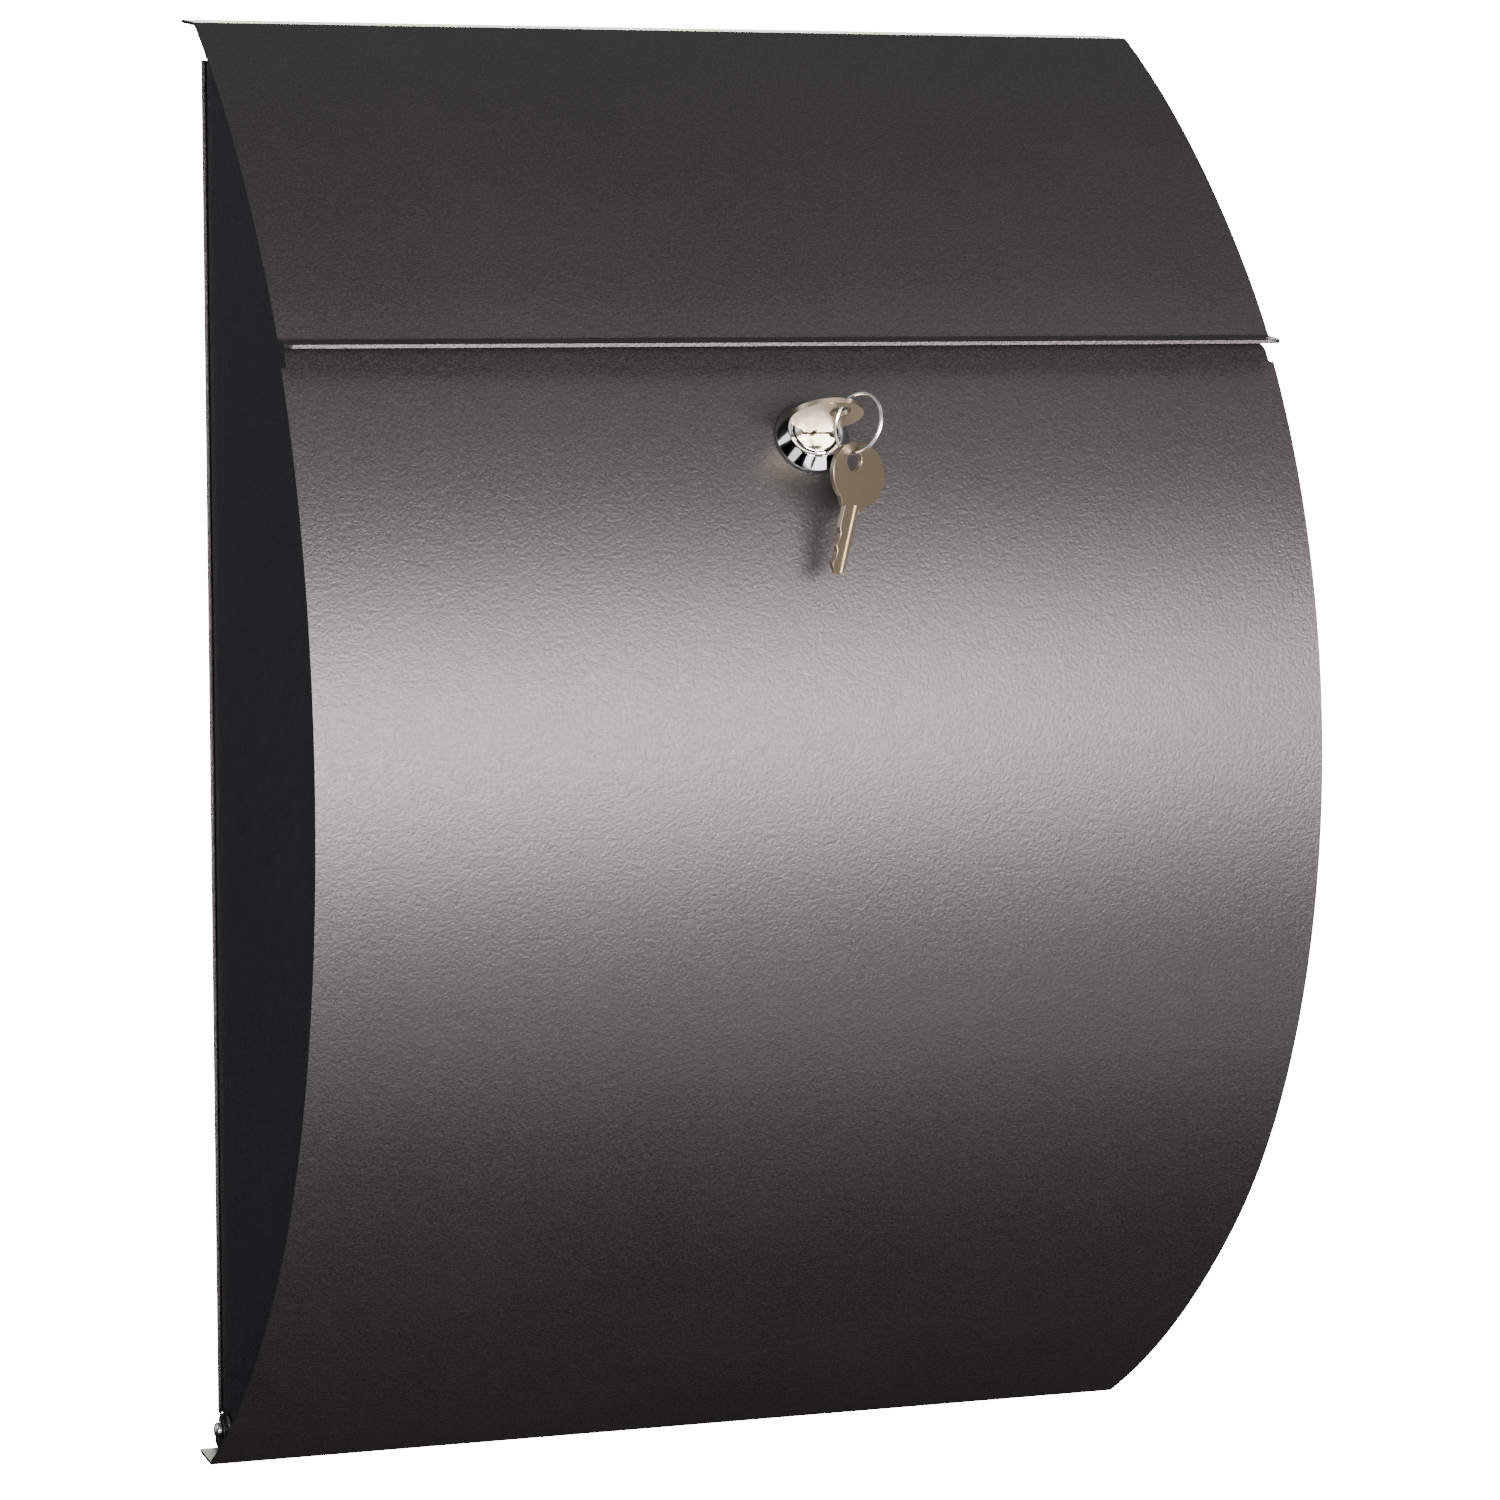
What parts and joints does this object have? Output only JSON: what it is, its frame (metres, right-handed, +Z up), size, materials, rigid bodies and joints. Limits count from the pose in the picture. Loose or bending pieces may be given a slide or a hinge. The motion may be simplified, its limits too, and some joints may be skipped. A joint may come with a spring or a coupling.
{
  "type": "wall mounted mailbox",
  "caption": "Wall mounted mailbox with a bowed hinged door, a hinged lid over the mail slot, and a cam lock with keys on a split ring",
  "frame": {"origin": "On the wall plane, at the centre of the back panel's rear face", "axes": "+X runs to the right seen from the front, +Y points into the wall, +Z points up"},
  "size_m": [0.3, 0.1852, 0.4419],
  "materials": {
    "paint": "fine-textured anthracite powder coat",
    "zinc": "bright zinc plate",
    "chrome": "polished chrome",
    "nickel": "satin nickel"
  },
  "bodies": {
    "body": {"back_panel": "paint", "side_panel_left": "paint", "side_panel_right": "paint", "floor_panel": "paint", "front_rail": "paint", "lid_hinge_screw_left": "zinc", "lid_hinge_screw_right": "zinc", "lid_hinge_nut_left": "zinc", "lid_hinge_nut_right": "zinc", "door_hinge_screw_left": "zinc", "door_hinge_screw_right": "zinc", "door_hinge_nut_left": "zinc", "door_hinge_nut_right": "zinc", "door_hinge_washer_left": "zinc", "door_hinge_washer_right": "zinc"},
    "lid_body": {"lid": "paint"},
    "door_body": {"door": "paint", "lock_housing": "chrome", "lock_washer": "zinc", "lock_nut": "zinc"},
    "plug_body": {"lock_plug": "chrome", "lock_cam": "zinc", "cam_screw": "zinc"},
    "key_body": {"key_in_lock": "nickel"},
    "ring_body": {"key_ring": "zinc"},
    "spare_key_body": {"spare_key": "nickel"}
  },
  "joints": [
    {"name": "lid_hinge", "type": "hinge", "parent": "body", "child": "lid_body", "pos_m": [0, -0.013, 0.212], "axis": [-1, 0, 0], "range_deg": [0, 60]},
    {"name": "door_hinge", "type": "hinge", "parent": "body", "child": "door_body", "pos_m": [0, -0.013, -0.212], "axis": [1, 0, 0], "range_deg": [0, 60]},
    {"name": "lock_turn", "type": "hinge", "parent": "door_body", "child": "plug_body", "pos_m": [0.0007, -0.15381, 0.09921], "axis": [0, 0.8825, -0.4704], "range_deg": [0, 90]},
    {"name": "key_pull", "type": "slide", "parent": "plug_body", "child": "key_body", "axis": [0, -0.8825, 0.4704], "range_m": [0, 0.025]},
    {"name": "ring_swing", "type": "hinge", "parent": "key_body", "child": "ring_body", "pos_m": [0.0037, -0.16969, 0.10767], "axis": [-0.174, -0.693, 0.6996], "range_deg": [0, 102]},
    {"name": "spare_key_swing", "type": "hinge", "parent": "ring_body", "child": "spare_key_body", "pos_m": [0.0046, -0.17793, 0.09567], "axis": [0.46, -0.8879, 0], "range_deg": [-20, 3]}
  ],
  "couplings": [
    {"joint": "ring_swing", "follows": "lock_turn", "ratio": 1.1301}
  ]
}
